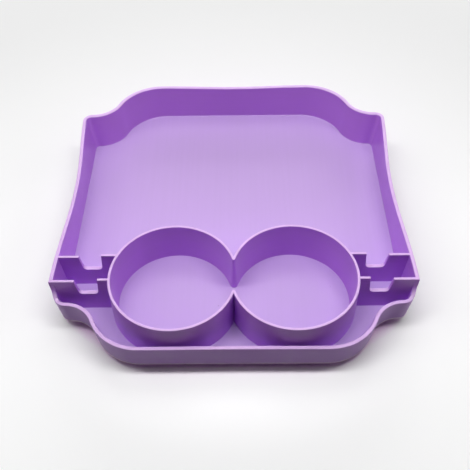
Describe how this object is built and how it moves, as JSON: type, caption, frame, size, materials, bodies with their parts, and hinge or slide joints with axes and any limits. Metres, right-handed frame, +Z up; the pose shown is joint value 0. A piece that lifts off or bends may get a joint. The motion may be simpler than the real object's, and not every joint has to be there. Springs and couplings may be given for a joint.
{
  "type": "beach bag tray",
  "caption": "Shallow moulded tray with waisted sides and ogee shoulders, joined round cup wells, notched dividers and a lip that drops into a bag's mouth.",
  "frame": {"origin": "middle of the tray's width and depth, on the surface that the locating lip stands on", "axes": "+Z up, +Y towards the high rear wall, +X to the right as seen from the low front; the tray is symmetric left to right"},
  "size_m": [0.2582, 0.2626, 0.045],
  "materials": {
    "lavender_plastic": "satin moulded"
  },
  "bodies": {
    "root": {"floor_plate": "lavender_plastic", "rear_wall": "lavender_plastic", "front_wall": "lavender_plastic", "left_side_wall": "lavender_plastic", "right_side_wall": "lavender_plastic", "left_cup_ring": "lavender_plastic", "right_cup_ring": "lavender_plastic", "left_rear_divider": "lavender_plastic", "left_front_divider": "lavender_plastic", "right_rear_divider": "lavender_plastic", "right_front_divider": "lavender_plastic", "base_skirt": "lavender_plastic", "locating_lip": "lavender_plastic"}
  },
  "joints": []
}
